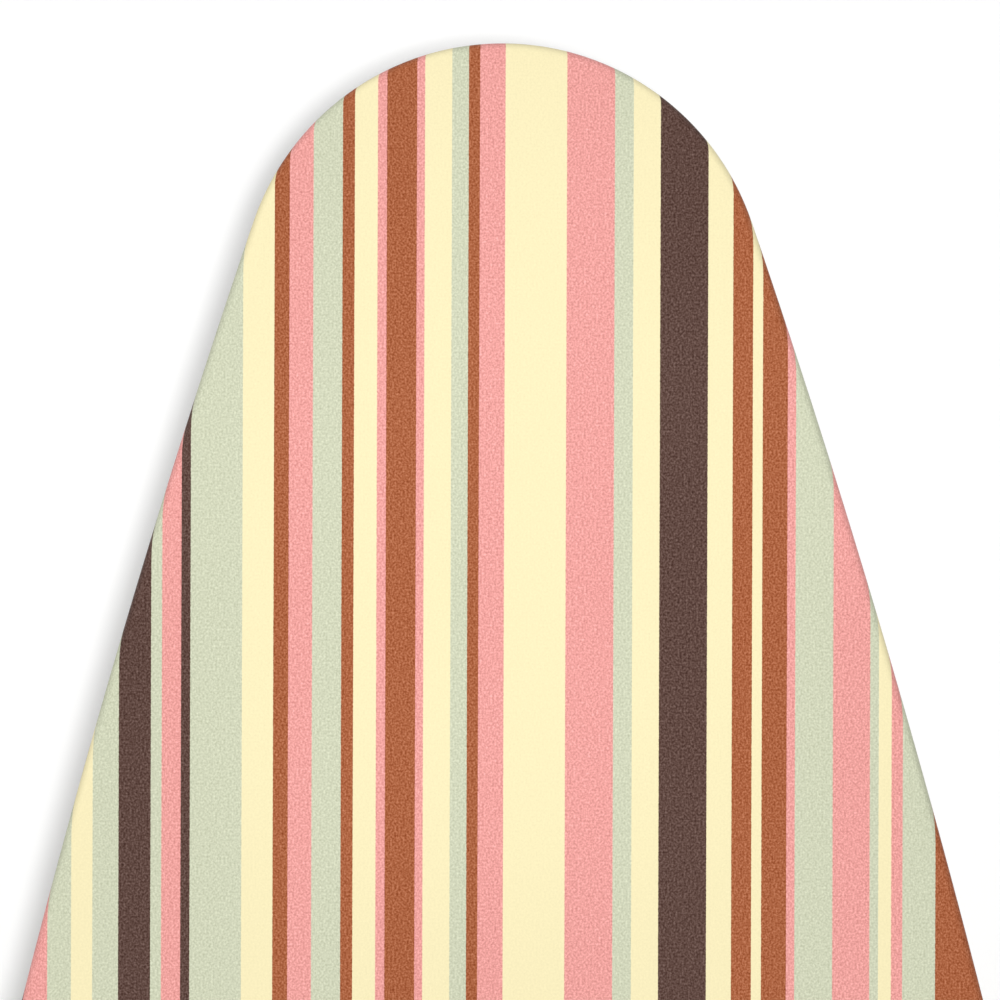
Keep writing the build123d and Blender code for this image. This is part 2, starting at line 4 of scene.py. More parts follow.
import bpy
import numpy as np
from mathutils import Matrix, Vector
from mathutils.geometry import delaunay_2d_cdt


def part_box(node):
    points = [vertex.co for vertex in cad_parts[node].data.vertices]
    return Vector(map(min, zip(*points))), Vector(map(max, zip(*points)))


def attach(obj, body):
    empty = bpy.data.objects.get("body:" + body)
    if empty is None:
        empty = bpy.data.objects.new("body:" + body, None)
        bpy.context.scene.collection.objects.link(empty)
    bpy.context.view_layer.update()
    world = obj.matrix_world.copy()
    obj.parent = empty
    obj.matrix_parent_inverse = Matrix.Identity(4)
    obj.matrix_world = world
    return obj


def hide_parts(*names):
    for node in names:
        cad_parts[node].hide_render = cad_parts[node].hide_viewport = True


# A full-size folding ironing board, seen from straight above its nose.
# Metres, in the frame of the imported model: +X to the nose, +Y to the left, +Z up.
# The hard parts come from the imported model. This script makes the soft goods, the welds, the moulded
# ribs and every material.

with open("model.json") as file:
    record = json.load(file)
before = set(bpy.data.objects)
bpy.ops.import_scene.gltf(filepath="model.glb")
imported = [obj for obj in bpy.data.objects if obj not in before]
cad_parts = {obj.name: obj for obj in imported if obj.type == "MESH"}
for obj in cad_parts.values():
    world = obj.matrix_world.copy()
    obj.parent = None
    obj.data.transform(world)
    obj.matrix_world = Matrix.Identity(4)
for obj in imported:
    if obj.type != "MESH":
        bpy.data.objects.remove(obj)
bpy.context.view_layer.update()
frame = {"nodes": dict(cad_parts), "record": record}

MM = 0.001
SEED = 20

# --- Plan of the top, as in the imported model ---
LENGTH = 1.372
WIDTH = 0.380
HEIGHT = 0.914
NOSE_R = 0.0632
TAPER = 0.826  # from the nose tip to where the top is widest
CORNER_R = 0.050
HEEL_R = 0.700  # the bow of the heel end

NOSE_X = LENGTH / 2 - NOSE_R
WIDEST_X = LENGTH / 2 - TAPER
SIDE_R = (WIDTH**2 / 4 + (TAPER - NOSE_R) ** 2 - NOSE_R**2) / (WIDTH - 2 * NOSE_R)
SIDE_Y = WIDTH / 2 - SIDE_R
SIDE_TURN = math.asin((TAPER - NOSE_R) / (SIDE_R - NOSE_R))
HEEL_X = HEEL_R - LENGTH / 2
CORNER_Y = WIDTH / 2 - CORNER_R
HEEL_TURN = math.asin(CORNER_Y / (HEEL_R - CORNER_R))
CORNER_X = HEEL_X - (HEEL_R - CORNER_R) * math.cos(HEEL_TURN)

# --- Soft goods ---
COVER_EDGE_R = 2 * MM  # the cover's rounded upper edge
COVER_CLOTH = 0.6 * MM
HEM_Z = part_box("cover_hem")[0].z + 0.5 * MM
HEM_BEND_R = 3 * MM  # where the cloth turns under the rim
RIM_LIP = 15 * MM  # the deck rim's lower lip reaches this far in from the cover's edge
CASING_INSET = 34.5 * MM  # the sewn channel round the elastic
CASING_R = 2.4 * MM
SIDE_PLEAT, SIDE_DEPTH = 30 * MM, 1.0 * MM  # pitch and depth of the pleats along the sides
TIGHT_PLEAT, TIGHT_DEPTH = 9.5 * MM, 3.0 * MM  # and round the nose and the heel's corners
LOOSE_BEND, TIGHT_BEND = 2.0, 13.0  # 1/radius where the cloth starts to gather, and gathers fully
STITCH, STITCH_SHARE, THREAD_R = 3.2 * MM, 0.74, 0.26 * MM  # pitch, and how much of it shows thread
PLEAT_LEAN = 0.7  # how far a pleat leans over, as a share of its depth
PAD_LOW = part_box("pad")[0].z + 0.1 * MM
PAD_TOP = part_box("pad")[1].z - 0.4 * MM
PAD_INSET = 1.8 * MM
PAD_PITCH, COVER_PITCH = 12 * MM, 11 * MM  # of the points inside the plan
FOLLOWING_ROWS = ((4 * MM, 1), (9 * MM, 2))  # of those: how far in, and which stations they follow
GRID_MARGIN = 14 * MM  # how far in the even grid of points starts
PAD_SINK, COVER_SINK = 0.25 * MM, 0.22 * MM  # how far the pad and the cloth over it give
SINK_MARGIN = 16 * MM  # and how far in from the edge the cloth starts to
HEM_SLACK = 1.2 * MM  # how far the casing wanders in and out
WALL_TUCK = 1.2 * MM  # how far a pleat may pull the cover's wall in

# --- Legs, for the welds ---
LEG_ANGLE = math.radians(55)
TUBE_R = 11 * MM
BAR_R = 12.5 * MM
BRACE_R = 8 * MM
OUTER_Y = 95 * MM
INNER_Y = 67 * MM
FOOT_Z = 17 * MM
TUBE_BEAD_R, BRACE_BEAD_R = 1.5 * MM, 1.3 * MM
WELD_POOL = 2.4 * MM  # the pitch of a bead's ripples

# --- Pressed steel under the deck ---
SHEET_T = 1 * MM
STIFFENER_FLANGE = 6 * MM
RAIL_T = 2 * MM
RAIL_FLANGE = 13 * MM
SPOT_R, SPOT_EDGE_R, SPOT_PITCH = 2.3 * MM, 0.28 * MM, 38 * MM  # spot welds

# --- Moulded ribs ---
GRIP_RIBS, GRIP_RIB_R = 5, 0.6 * MM  # on each face of the latch's grip
GRIP_MARGIN_X, GRIP_MARGIN_Y = 6 * MM, 7 * MM  # from the grip's ends and sides
CAP_RIB_R = 0.8 * MM
CAP_RIB_PLACES = (0.22, 0.36, 0.50)  # shares of a foot cap's length, from its outer end
CAP_RIB_ARC = (-38, 218)  # degrees round the cap, open at the sole


# ---------------------------------------------------------------- Mesh helpers


def link(obj):
    """Puts a new object in the scene."""
    bpy.context.scene.collection.objects.link(obj)
    return obj


def mesh_piece(name, vertices, faces, material):
    """A smooth mesh object with one material."""
    mesh = bpy.data.meshes.new(name)
    mesh.from_pydata(np.asarray(vertices).tolist(), [], [list(map(int, f)) for f in faces])
    mesh.polygons.foreach_set("use_smooth", [True] * len(mesh.polygons))
    mesh.materials.append(material)
    mesh.update()
    return link(bpy.data.objects.new(name, mesh))


def strip_faces(index, wrap_rows=False):
    """Quads over a grid of vertex numbers whose columns close into a loop, and rows too if asked."""
    rows = np.vstack([index, index[:1]]) if wrap_rows else index
    ahead = np.roll(rows, -1, axis=1)
    quads = np.stack([rows[:-1], rows[1:], ahead[1:], ahead[:-1]], axis=-1)
    return quads.reshape(-1, 4)


def round_turns(count):
    """Angles evenly round a circle."""
    return 2 * math.pi * np.arange(count) / count


def closed_rod(path, normals, radii, sides=6):
    """A rod along a path, closed at both ends: its vertices and faces. normals set its roll."""
    heading = np.gradient(path, axis=0)
    heading /= np.linalg.norm(heading, axis=1)[:, None]
    side = np.cross(heading, normals)
    side /= np.linalg.norm(side, axis=1)[:, None]
    up = np.cross(side, heading)
    turns = round_turns(sides)
    rings = [path + radii[:, None] * (side * math.cos(t) + up * math.sin(t)) for t in turns]
    vertices = np.array(rings).transpose(1, 0, 2).reshape(-1, 3)
    index = np.arange(len(vertices)).reshape(len(path), sides)
    return vertices, [*strip_faces(index), index[0][::-1], index[-1]]


def ring_shape(rings):
    """Vertices and faces of a closed ring."""
    index = np.arange(rings.shape[0] * rings.shape[1]).reshape(rings.shape[:2])
    return rings.reshape(-1, 3), strip_faces(index, wrap_rows=True)


def joined(name, shapes, material):
    """One piece from several closed shapes, each its vertices and faces."""
    vertices, faces, base = [], [], 0
    for made, loops in shapes:
        vertices.append(made)
        faces.extend([[base + v for v in loop] for loop in loops])
        base += len(made)
    return mesh_piece(name, np.vstack(vertices), faces, material)


def fitted(piece, body):
    """Sets a piece on its body."""
    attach(piece, body)


def smoothstep(low, high, value):
    """0 below low, 1 above high, and smooth between."""
    t = np.clip((value - low) / (high - low), 0, 1)
    return t * t * (3 - 2 * t)


def ripple(rng, where, wavelength, terms=6):
    """A smooth random field of about unit size over points of the plan, with roughly that wavelength."""
    total = np.zeros(len(where))
    for _ in range(terms):
        turn, phase = rng.uniform(0, 2 * math.pi, 2)
        stretch = rng.uniform(0.6, 1.6)
        heading = np.array([math.cos(turn), math.sin(turn)])
        total += np.sin(2 * math.pi * stretch / wavelength * (where @ heading) + phase)
    return total / math.sqrt(terms)


# ---------------------------------------------------------------- Outline


def outline_pieces():
    """Half the cover's edge, nose to heel: the length, the spacing, and functions for the place and the
    outward angle of each run. Both take the share of the run, from 0 to 1."""
    fine, coarse = 1.25 * MM, 4.2 * MM
    nose_turn = math.pi / 2 - SIDE_TURN
    heel_start = math.pi - HEEL_TURN

    def arc(x, y, radius, start, end, spacing):
        def angle(t):
            return start + (end - start) * t

        def place(t):
            return x + radius * np.cos(angle(t)), y + radius * np.sin(angle(t))

        return radius * (end - start), spacing, place, angle

    def straight(t):
        return WIDEST_X + (CORNER_X - WIDEST_X) * t, np.full_like(t, WIDTH / 2)

    shoulder = math.pi / 2 - SIDE_TURN * 0.9
    return [
        arc(NOSE_X, 0, NOSE_R, 0, nose_turn, fine),
        arc(WIDEST_X, SIDE_Y, SIDE_R, nose_turn, shoulder, fine),
        arc(WIDEST_X, SIDE_Y, SIDE_R, shoulder, math.pi / 2, coarse),
        (WIDEST_X - CORNER_X, coarse, straight, lambda t: np.full_like(t, math.pi / 2)),
        arc(CORNER_X, CORNER_Y, CORNER_R, math.pi / 2, heel_start, fine),
        arc(HEEL_X, 0, HEEL_R, heel_start, math.pi, coarse),
    ]


def outline_stations():
    """Round the cover's edge from the nose tip, anticlockwise: points, outward normals, distances run,
    tightness of the curve, and the whole way round."""
    places, angles, runs, bends, travelled = [], [], [], [], 0.0
    for length, spacing, place, angle in outline_pieces():
        count = max(2, round(length / spacing))
        t = np.arange(count) / count
        places.append(np.stack(place(t), axis=1))
        angles.append(angle(t))
        runs.append(travelled + length * t)
        turned = float(angle(np.ones(1))[0] - angle(np.zeros(1))[0])
        bends.append(np.full(count, turned / length))
        travelled += length
    left, turn, run, bend = (np.concatenate(part) for part in (places, angles, runs, bends))
    back = slice(None, 0, -1)
    points = np.vstack([left, (-LENGTH / 2, 0.0), left[back] * (1, -1)])
    turn = np.concatenate([turn, [math.pi], 2 * math.pi - turn[back]])
    run = np.concatenate([run, [travelled], 2 * travelled - run[back]])
    bend = np.concatenate([bend, [1 / HEEL_R], bend[back]])
    return points, np.stack([np.cos(turn), np.sin(turn)], axis=1), run, bend, 2 * travelled


EDGE, NORMAL, RUN, BEND, AROUND = outline_stations()
COLUMNS = len(EDGE)
TANGENT = np.stack([-NORMAL[:, 1], NORMAL[:, 0]], axis=1)


def smooth_round(values, reach):
    """Values at the stations, averaged over a distance along the edge."""
    gap = np.abs(RUN[:, None] - RUN[None, :])
    gap = np.minimum(gap, AROUND - gap)
    spacing = np.diff(np.append(RUN, AROUND))
    weight = np.exp(-((gap / reach) ** 2)) * spacing
    return (weight @ values) / weight.sum(axis=1)


def filled_plan(inset, pitch):
    """Points and triangles that fill the outline moved in by inset. The first points are the stations'
    own, in their order. Two finer rows follow the edge, and an even grid fills the rest."""
    points = [EDGE - inset * NORMAL]
    for step, every in FOLLOWING_ROWS:
        points.append((EDGE - (inset + step) * NORMAL)[::every])
    rows = np.arange(-WIDTH / 2, WIDTH / 2, pitch * math.sqrt(3) / 2)
    loop = EDGE - (inset + GRID_MARGIN) * NORMAL
    for number, y in enumerate(rows):
        x = np.arange(-LENGTH / 2, LENGTH / 2, pitch) + (number % 2) * pitch / 2
        points.append(np.stack([x, np.full_like(x, y)], axis=1)[inside(loop, x, y)])
    points = np.vstack(points)
    loop_edges = [(i, (i + 1) % COLUMNS) for i in range(COLUMNS)]
    flat = [Vector(p) for p in points.tolist()]
    made = delaunay_2d_cdt(flat, loop_edges, [list(range(COLUMNS))], 1, 1e-7)
    _, _, triangles, sources, _, _ = made
    order = np.array([min(source) for source in sources])
    return points, order[np.array(triangles)]


def renumbered(triangles, ring_start, inner_start):
    """The triangles of a filled plan, for a mesh that holds its ring and its inner points apart."""
    inner = triangles >= COLUMNS
    return np.where(inner, triangles - COLUMNS + inner_start, triangles + ring_start)


def inside(loop, x, y):
    """Which of the points (x, y) of one row lie inside a loop that the row crosses twice."""
    ahead = np.roll(loop, -1, axis=0)
    crossing = (loop[:, 1] > y) != (ahead[:, 1] > y)
    if not crossing.any():
        return np.zeros(len(x), bool)
    a, b = loop[crossing], ahead[crossing]
    hits = a[:, 0] + (y - a[:, 1]) / (b[:, 1] - a[:, 1]) * (b[:, 0] - a[:, 0])
    return (x > hits.min()) & (x < hits.max())


# ---------------------------------------------------------------- Shader helpers


def add_node(tree, kind, settings=None, **inputs):
    """A shader node. Inputs go by name, with _ for a space, or in01 for the socket at that place."""
    made = tree.nodes.new("ShaderNode" + kind)
    for name, value in (settings or {}).items():
        setattr(made, name, value)
    for name, value in inputs.items():
        by_place = name.startswith("in") and name[2:].isdigit()
        socket = made.inputs[int(name[2:]) if by_place else name.replace("_", " ")]
        if isinstance(value, bpy.types.NodeSocket):
            tree.links.new(value, socket)
        else:
            socket.default_value = value
    return made


def maths(tree, operation, *values):
    """The result of a Math node."""
    places = {f"in{i:02}": value for i, value in enumerate(values)}
    return add_node(tree, "Math", {"operation": operation}, **places).outputs[0]


def mixed(tree, factor, a, b, mode="MIX"):
    """A blend of two colours."""
    settings = {"data_type": "RGBA", "blend_type": mode}
    return add_node(tree, "Mix", settings, in00=factor, in06=a, in07=b).outputs[2]


def noise(tree, scale, vector, detail=2.0, roughness=0.5):
    """A noise texture's value, from 0 to 1."""
    made = add_node(
        tree, "TexNoise", Vector=vector, Scale=scale, Detail=detail, Roughness=roughness
    )
    return made.outputs[0]


def spread_between(tree, value, low, high, to_low=0.0, to_high=1.0):
    """A value remapped from one range to another and clamped."""
    made = add_node(tree, "MapRange", in00=value, in01=low, in02=high, in03=to_low, in04=to_high)
    return made.outputs[0]


def grey(tree, value):
    """The grey of a value."""
    return add_node(tree, "CombineColor", in00=value, in01=value, in02=value).outputs[0]


def ramp(tree, value, *stops):
    """A colour that runs between two stops, each a place and its colour."""
    made = add_node(tree, "ValToRGB", in00=value)
    for element, (place, colour) in zip(made.color_ramp.elements, stops):
        element.position = place
        element.color = colour
    return made.outputs[0]


def stretched(tree, vector, scale, turn=(0, 0, 0)):
    """Coordinates turned and scaled."""
    return add_node(tree, "Mapping", Vector=vector, Rotation=turn, Scale=scale).outputs[0]


def object_place(tree):
    """Position in the model's frame, which every piece's own coordinates share."""
    return add_node(tree, "TexCoord").outputs["Object"]


def bump(tree, height, distance, strength):
    """A bump from a height field, whose full range stands for a distance."""
    return add_node(tree, "Bump", Height=height, Distance=distance, Strength=strength).outputs[0]


def new_material(name, **constants):
    """An empty material with its Principled shader. Constants go straight onto the shader's sockets."""
    material = bpy.data.materials.new(name)
    material.use_nodes = True
    tree = material.node_tree
    shader = next(n for n in tree.nodes if n.type == "BSDF_PRINCIPLED")
    for socket, value in constants.items():
        shader.inputs[socket.replace("_", " ")].default_value = value
    return material, tree, shader


def feed(tree, shader, **sockets):
    """Links values to the shader's sockets."""
    for name, value in sockets.items():
        tree.links.new(value, shader.inputs[name.replace("_", " ")])


# ---------------------------------------------------------------- Cover fabric

CREAM = (0.70, 0.63, 0.385, 1)
PINK = (0.635, 0.270, 0.250, 1)
GREEN = (0.468, 0.488, 0.360, 1)
RUST = (0.300, 0.088, 0.034, 1)
BROWN = (0.080, 0.042, 0.033, 1)

# Each stripe's start, in millimetres out from the centre line, and its colour.
LEFT_STRIPES = (
    (0.0, PINK), (6.1, RUST), (8.8, GREEN), (12.8, CREAM), (19.3, PINK), (21.2, RUST),
    (28.4, PINK), (30.6, CREAM), (36.1, RUST), (39.0, GREEN), (46.0, PINK), (51.7, RUST),
    (55.3, CREAM), (62.8, GREEN), (75.2, BROWN), (77.4, PINK), (82.0, GREEN), (84.6, BROWN),
    (92.3, GREEN), (98.5, CREAM), (103.6, GREEN), (109.3, PINK), (115.6, BROWN),
    (121.0, CREAM), (129.5, RUST), (131.5, GREEN), (141.0, PINK), (145.5, CREAM),
)
RIGHT_STRIPES = (
    (0.0, CREAM), (14.8, PINK), (26.3, GREEN), (30.8, CREAM), (37.3, BROWN), (48.8, CREAM),
    (54.8, RUST), (59.6, CREAM), (62.0, RUST), (68.0, PINK), (70.0, GREEN), (79.1, PINK),
    (88.0, GREEN), (90.1, CREAM), (93.2, PINK), (95.9, GREEN), (103.8, RUST),
    (117.5, CREAM), (124.0, GREEN), (131.0, PINK), (134.0, BROWN), (141.0, CREAM),
)
HALF_REPEAT = 0.150  # the stripes repeat over twice this
STRIPE_SLANT = 0.0035  # the stripes lean by this much against the board's own line
STRIPES_TRUE_X = LENGTH / 2 - 0.225  # where each stripe is exactly at its listed place
WEAVE = 0.34 * MM  # the pitch of the yarns
INK_GRAIN = 0.39  # how unevenly the darkest ink takes
SLUB_SHARE, WEAVE_SHARE = 0.30, 0.10  # what slubs and weave add to the ink's specks
PALEST_TONE = 0.66  # a tone so pale that no unevenness shows
SCREEN_GAMMA = 2.2
INK_BLEED = 0.05 * MM  # half the width over which one ink runs into the next
INK_WAVER = 0.08 * MM  # how far a stripe's edge strays to either side


def stripe_run(tree, distance, stripes):
    """The stripe colour at a distance from the centre line. Each ink runs slightly into the next."""
    colour = stripes[0][1]
    for start, ink in stripes[1:]:
        edge = start * MM
        covered = spread_between(tree, distance, edge - INK_BLEED, edge + INK_BLEED)
        colour = mixed(tree, covered, colour, ink)
    return colour


def stripe_colours(tree, flat):
    """The printed stripes at a place in the flat cloth, with edges that waver slightly."""
    split = add_node(tree, "SeparateXYZ", Vector=flat)
    lean = maths(tree, "MULTIPLY", split.outputs[0], STRIPE_SLANT)
    waver = maths(tree, "MULTIPLY_ADD", noise(tree, 1700.0, flat, 1.0), 2 * INK_WAVER, -INK_WAVER)
    across = maths(tree, "ADD", maths(tree, "ADD", split.outputs[1], lean), waver)
    across = maths(tree, "SUBTRACT", across, STRIPE_SLANT * STRIPES_TRUE_X)
    wrapped = maths(tree, "WRAP", across, HALF_REPEAT, -HALF_REPEAT)
    distance = maths(tree, "ABSOLUTE", wrapped)
    left = stripe_run(tree, distance, LEFT_STRIPES)
    right = stripe_run(tree, distance, RIGHT_STRIPES)
    return mixed(tree, maths(tree, "GREATER_THAN", wrapped, 0.0), right, left)


def yarns(tree, flat, direction):
    """The yarns that lie side by side along one direction: 0 between two, 1 on top of each."""
    made = add_node(
        tree,
        "TexWave",
        {"wave_type": "BANDS", "bands_direction": direction},
        Vector=flat,
        Scale=2 * math.pi / (20 * WEAVE),
        Distortion=1.1,
        Detail=1.0,
        Detail_Scale=1.2,
    )
    return made.outputs[1]


def uneven_ink(tree, colour, grain):
    """The ink's colour, lighter and darker by grain. Pale inks show it least."""
    tone = add_node(tree, "RGBToBW", Color=colour).outputs[0]
    pale = maths(tree, "POWER", maths(tree, "DIVIDE", tone, PALEST_TONE), 3.0)
    amount = maths(tree, "MULTIPLY_ADD", pale, -INK_GRAIN, INK_GRAIN)
    step = maths(tree, "MULTIPLY", grain, amount)
    seen = add_node(tree, "Gamma", Color=colour, Gamma=1 / SCREEN_GAMMA).outputs[0]
    seen = mixed(tree, 1.0, seen, grey(tree, step), "ADD")
    return add_node(tree, "Gamma", Color=seen, Gamma=SCREEN_GAMMA).outputs[0]


def cover_fabric():
    """Printed plain-weave cotton: stripes along the board, speckled where the ink took unevenly."""
    material, tree, shader = new_material(
        "cover_cotton", Sheen_Weight=0.10, Sheen_Roughness=0.45, Specular_IOR_Level=0.2
    )
    flat = add_node(tree, "Attribute", {"attribute_name": "flat_cloth"}).outputs["Vector"]
    weave = maths(tree, "MULTIPLY", yarns(tree, flat, "X"), yarns(tree, flat, "Y"))
    slubs = noise(tree, 1.0, stretched(tree, flat, (500.0, 2600.0, 1.0)), 2.0, 0.6)
    speck = noise(tree, 2000.0, flat, 1.0, 0.5)
    cloud = noise(tree, 14.0, flat, 3.0)
    grain = maths(tree, "MULTIPLY_ADD", slubs, SLUB_SHARE, speck)
    grain = maths(tree, "MULTIPLY_ADD", weave, WEAVE_SHARE, grain)
    # The specks and slubs are 0.5 in the mean, and the weave 0.25.
    grain = maths(tree, "SUBTRACT", grain, 0.5 + 0.5 * SLUB_SHARE + 0.25 * WEAVE_SHARE)
    grain = maths(tree, "ADD", grain, spread_between(tree, cloud, 0.3, 0.7, -0.02, 0.02))
    feed(
        tree,
        shader,
        Base_Color=uneven_ink(tree, stripe_colours(tree, flat), grain),
        Roughness=spread_between(tree, weave, 0.0, 0.8, 0.93, 0.80),
        Normal=bump(tree, maths(tree, "ADD", weave, slubs), 0.05 * MM, 0.5),
    )
    return material


# ---------------------------------------------------------------- Other materials

FELT_DARK = (0.42, 0.41, 0.38, 1)
FELT_PALE = (0.74, 0.72, 0.66, 1)
FELT_FLECK = (0.16, 0.19, 0.26, 1)
DECK_COAT = (0.66, 0.63, 0.55, 1)
FRAME_COAT = (0.72, 0.69, 0.60, 1)
GRIME = (0.30, 0.26, 0.20, 1)
SCUFFED_COAT = (0.33, 0.32, 0.30, 1)
ZINC_BLUE = (0.56, 0.60, 0.66, 1)
ZINC_YELLOW = (0.70, 0.68, 0.61, 1)
PLASTIC_DARK = (0.040, 0.024, 0.019, 1)
PLASTIC_PALE = (0.052, 0.032, 0.025, 1)
SCUFFED_PLASTIC = (0.20, 0.17, 0.15, 1)
NYLON = (0.72, 0.70, 0.61, 1)
GREASE = (0.42, 0.39, 0.32, 1)
THREAD_DARK = (0.62, 0.55, 0.36, 1)
THREAD_PALE = (0.86, 0.80, 0.62, 1)
FLOOR_WARM = (0.95, 0.95, 0.947, 1)
FLOOR_WHITE = (0.965, 0.965, 0.965, 1)


def felt_material():
    """Grey-white needled felt: short fibres with darker recycled flecks."""
    material, tree, shader = new_material("pad_felt", Sheen_Weight=0.35, Sheen_Roughness=0.6)
    place = object_place(tree)
    fibre = noise(tree, 1.0, stretched(tree, place, (900, 260, 500), (0, 0, 0.6)), 4.0, 0.7)
    cross = noise(tree, 1.0, stretched(tree, place, (240, 850, 500), (0, 0, -0.3)), 4.0, 0.7)
    fleck = noise(tree, 420.0, place, 2.0, 0.6)
    mat = maths(tree, "MAXIMUM", fibre, cross)
    tone = ramp(tree, mat, (0.35, FELT_DARK), (0.75, FELT_PALE))
    feed(
        tree,
        shader,
        Base_Color=mixed(tree, spread_between(tree, fleck, 0.66, 0.72), tone, FELT_FLECK),
        Roughness=spread_between(tree, mat, 0.3, 0.8, 0.98, 0.85),
        Normal=bump(tree, mat, 0.5 * MM, 0.8),
    )
    return material


def powder_coat(name, colour, dust):
    """Baked powder coat: orange peel, slight mottling, fine scuffs, and by dust some grime low down."""
    material, tree, shader = new_material(
        name, Coat_Weight=0.25, Coat_Roughness=0.18, Specular_IOR_Level=0.5
    )
    place = object_place(tree)
    peel = noise(tree, 520.0, place, 1.5, 0.45)
    mottle = noise(tree, 22.0, place, 4.0, 0.6)
    scratch = noise(tree, 1.0, stretched(tree, place, (120, 2600, 320), (0.4, 0.2, 0.3)), 3.0, 0.65)
    scratched = spread_between(tree, scratch, 0.64, 0.70)
    handled = spread_between(tree, noise(tree, 9.0, place, 3.0), 0.52, 0.68)
    scuff = maths(tree, "MULTIPLY", scratched, handled)
    height = add_node(tree, "SeparateXYZ", Vector=place).outputs[2]
    low = spread_between(tree, height, 0.01, 0.12, 1.0, 0.0)
    grime = maths(tree, "MULTIPLY", low, spread_between(tree, mottle, 0.4, 0.75))
    shade = (*(0.94 * c for c in colour[:3]), 1)
    base = mixed(tree, spread_between(tree, mottle, 0.3, 0.7), colour, shade)
    base = mixed(tree, maths(tree, "MULTIPLY", grime, dust), base, GRIME)
    base = mixed(tree, maths(tree, "MULTIPLY", scuff, 0.55), base, SCUFFED_COAT)
    rough = spread_between(tree, mottle, 0.3, 0.7, 0.30, 0.40)
    rough = maths(tree, "ADD", rough, maths(tree, "MULTIPLY", scuff, 0.2))
    feed(tree, shader, Base_Color=base, Roughness=rough, Normal=bump(tree, peel, 0.10 * MM, 0.6))
    return material


def zinc_plate():
    """Bright zinc plate: cool metal with faint passivation tints, crystal grain and rolling marks."""
    material, tree, shader = new_material("zinc_plate", Metallic=1.0)
    place = object_place(tree)
    roll = noise(tree, 1.0, stretched(tree, place, (60, 1400, 1400)), 3.0, 0.6)
    patch = noise(tree, 45.0, place, 4.0, 0.6)
    crystal = add_node(tree, "TexVoronoi", {"feature": "F1"}, Vector=place, Scale=420.0)
    grain = add_node(tree, "SeparateColor", in00=crystal.outputs["Color"]).outputs[0]
    tint = ramp(tree, patch, (0.32, ZINC_BLUE), (0.70, ZINC_YELLOW))
    shade = spread_between(tree, maths(tree, "ADD", grain, roll), 0.3, 1.5, 0.88, 1.06)
    rough = spread_between(tree, patch, 0.3, 0.7, 0.26, 0.42)
    feed(
        tree,
        shader,
        Base_Color=mixed(tree, 1.0, tint, grey(tree, shade), "MULTIPLY"),
        Roughness=maths(tree, "ADD", rough, maths(tree, "MULTIPLY", grain, 0.07)),
        Normal=bump(tree, roll, 0.03 * MM, 0.5),
    )
    return material


def moulded_plastic():
    """Dark brown moulded plastic: spark-eroded texture, paler scuffs where it meets the floor."""
    material, tree, shader = new_material("moulded_plastic", Specular_IOR_Level=0.45)
    place = object_place(tree)
    spark = noise(tree, 1500.0, place, 3.0, 0.6)
    cloud = noise(tree, 60.0, place, 3.0)
    height = add_node(tree, "SeparateXYZ", Vector=place).outputs[2]
    low = spread_between(tree, height, 0.0, 0.006, 1.0, 0.0)
    streak = noise(tree, 1.0, stretched(tree, place, (900, 180, 400)), 3.0, 0.7)
    scuff = maths(tree, "MULTIPLY", low, spread_between(tree, streak, 0.45, 0.65))
    base = mixed(tree, spread_between(tree, cloud, 0.35, 0.65), PLASTIC_DARK, PLASTIC_PALE)
    base = mixed(tree, maths(tree, "MULTIPLY", scuff, 0.6), base, SCUFFED_PLASTIC)
    rough = spread_between(tree, spark, 0.3, 0.7, 0.42, 0.58)
    rough = maths(tree, "ADD", rough, maths(tree, "MULTIPLY", scuff, 0.25))
    feed(tree, shader, Base_Color=base, Roughness=rough, Normal=bump(tree, spark, 0.06 * MM, 0.6))
    return material


def natural_nylon():
    """Off-white machined nylon, slightly waxy, with turning marks and a trace of grease."""
    material, tree, shader = new_material(
        "natural_nylon", Subsurface_Weight=0.15, Subsurface_Scale=0.002, Specular_IOR_Level=0.45
    )
    place = object_place(tree)
    marks = noise(tree, 1.0, stretched(tree, place, (200, 3200, 200)), 2.0)
    stain = noise(tree, 110.0, place, 4.0, 0.6)
    feed(
        tree,
        shader,
        Base_Color=mixed(tree, spread_between(tree, stain, 0.5, 0.75, 0.0, 0.5), NYLON, GREASE),
        Roughness=spread_between(tree, stain, 0.35, 0.7, 0.48, 0.30),
        Normal=bump(tree, marks, 0.04 * MM, 0.5),
    )
    return material


def sewing_thread():
    """Cream polyester thread with its twist."""
    material, tree, shader = new_material("sewing_thread", Sheen_Weight=0.3)
    place = object_place(tree)
    twist = noise(tree, 2600.0, place, 2.0)
    feed(
        tree,
        shader,
        Base_Color=mixed(tree, twist, THREAD_DARK, THREAD_PALE),
        Roughness=spread_between(tree, twist, 0.3, 0.7, 0.55, 0.75),
        Normal=bump(tree, twist, 0.08 * MM, 0.6),
    )
    return material


def studio_floor():
    """A near-white, faintly grained floor."""
    material, tree, shader = new_material("studio_floor", Specular_IOR_Level=0.15)
    place = object_place(tree)
    grain = noise(tree, 180.0, place, 3.0)
    broad = noise(tree, 1.3, place, 2.0)
    feed(
        tree,
        shader,
        Base_Color=mixed(tree, broad, FLOOR_WARM, FLOOR_WHITE),
        Roughness=spread_between(tree, grain, 0.3, 0.7, 0.75, 0.9),
        Normal=bump(tree, grain, 0.05 * MM, 0.2),
    )
    return material


looks = {
    "cover_fabric": cover_fabric(),
    "felt": felt_material(),
    "deck_paint": powder_coat("deck_coat", DECK_COAT, dust=0.0),
    "frame_paint": powder_coat("frame_coat", FRAME_COAT, dust=0.5),
    "zinc": zinc_plate(),
    "foot_plastic": moulded_plastic(),
    "nylon": natural_nylon(),
    "thread": sewing_thread(),
}


